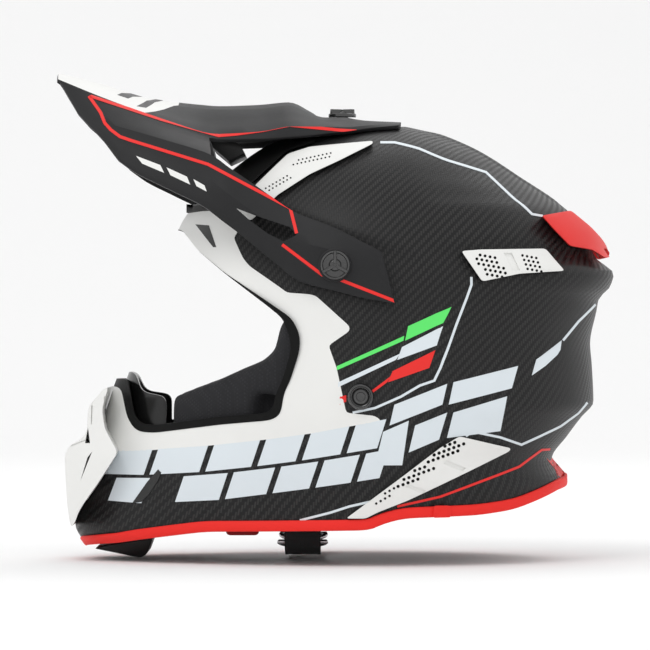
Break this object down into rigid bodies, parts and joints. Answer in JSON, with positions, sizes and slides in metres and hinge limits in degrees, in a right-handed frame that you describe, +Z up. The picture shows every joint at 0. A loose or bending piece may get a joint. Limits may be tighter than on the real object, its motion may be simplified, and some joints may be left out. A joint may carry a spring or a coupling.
{
  "type": "motocross helmet",
  "caption": "Motocross helmet with a tilting peak on thumb screws, open face port, long chin bar, vent covers, padded liner and a chin strap.",
  "frame": {"origin": "centre of the head cavity, on the helmet's middle plane at the height of the wearer's eyes", "axes": "+X from the face to the back of the head, +Y to the wearer's right-hand side of the helmet, +Z up"},
  "size_m": [0.3626, 0.2684, 0.3135],
  "materials": {
    "carbon": "woven carbon twill under a clear coat",
    "impact_foam": "moulded bead foam",
    "lining": "brushed mesh lining",
    "black_foam": "fabric-faced foam",
    "pad_fabric": "dark grey spacer mesh with a black rolled edge",
    "black_fabric": "brushed fabric",
    "black_rubber": "matt rubber",
    "red_rubber": "satin rubber",
    "red_plastic": "satin moulded",
    "white_plastic": "satin moulded",
    "black_plastic": "textured moulded",
    "brass_insert": "turned",
    "peak_plastic": "matt moulded with printed panels",
    "steel": "plated",
    "webbing": "woven webbing",
    "tab_webbing": "woven webbing"
  },
  "bodies": {
    "helmet": {"outer_shell": "carbon", "eps_liner": "impact_foam", "comfort_liner": "lining", "chin_liner": "black_foam", "cheek_pad_left": "pad_fabric", "cheek_pad_right": "pad_fabric", "neck_roll": "black_fabric", "port_gasket": "black_rubber", "nose_guard": "black_rubber", "base_trim": "red_rubber", "trim_clip_left": "red_plastic", "trim_clip_right": "red_plastic", "mouthpiece": "white_plastic", "mouth_grille": "black_plastic", "chin_vent": "black_plastic", "forehead_intake": "black_plastic", "brow_vent_left": "white_plastic", "brow_vent_right": "white_plastic", "exhaust_left": "white_plastic", "exhaust_right": "white_plastic", "jaw_vent_left": "white_plastic", "jaw_vent_right": "white_plastic", "rear_vent": "red_plastic", "side_plug_left": "black_plastic", "side_plug_right": "black_plastic", "insert_left": "brass_insert", "insert_right": "brass_insert", "insert_top": "brass_insert", "strap_rivet_left": "steel", "strap_rivet_right": "steel", "pull_tab_left": "tab_webbing", "pull_tab_right": "tab_webbing"},
    "peak_body": {"peak": "peak_plastic"},
    "left_screw": {"peak_screw_left": "black_plastic"},
    "right_screw": {"peak_screw_right": "black_plastic"},
    "top_screw": {"peak_screw_top": "black_plastic"},
    "strap": {"chin_strap": "webbing"},
    "left_ring": {"d_ring_left": "steel"},
    "right_ring": {"d_ring_right": "steel"}
  },
  "joints": [
    {"name": "peak_tilt", "type": "hinge", "parent": "helmet", "child": "peak_body", "pos_m": [-0.01, 0, 0.021], "axis": [0, -1, 0], "range_deg": [0, 6]},
    {"name": "left_screw_turn", "type": "hinge", "parent": "helmet", "child": "left_screw", "pos_m": [-0.01, -0.12, 0.021], "axis": [0, -1, 0], "continuous": true},
    {"name": "right_screw_turn", "type": "hinge", "parent": "helmet", "child": "right_screw", "pos_m": [-0.01, 0.12, 0.021], "axis": [0, 1, 0], "continuous": true},
    {"name": "top_screw_turn", "type": "hinge", "parent": "helmet", "child": "top_screw", "pos_m": [-0.005, 0, 0.12], "axis": [0, 0, 1], "continuous": true},
    {"name": "strap_swing", "type": "hinge", "parent": "helmet", "child": "strap", "pos_m": [-0.0305, 0, -0.072], "axis": [0, 1, 0], "range_deg": [-10, 8]},
    {"name": "left_ring_lift", "type": "hinge", "parent": "strap", "child": "left_ring", "pos_m": [-0.0305, -0.056, -0.1544], "axis": [1, 0, 0], "range_deg": [0, 60]},
    {"name": "right_ring_lift", "type": "hinge", "parent": "strap", "child": "right_ring", "pos_m": [-0.0305, 0.056, -0.1544], "axis": [-1, 0, 0], "range_deg": [0, 60]}
  ]
}
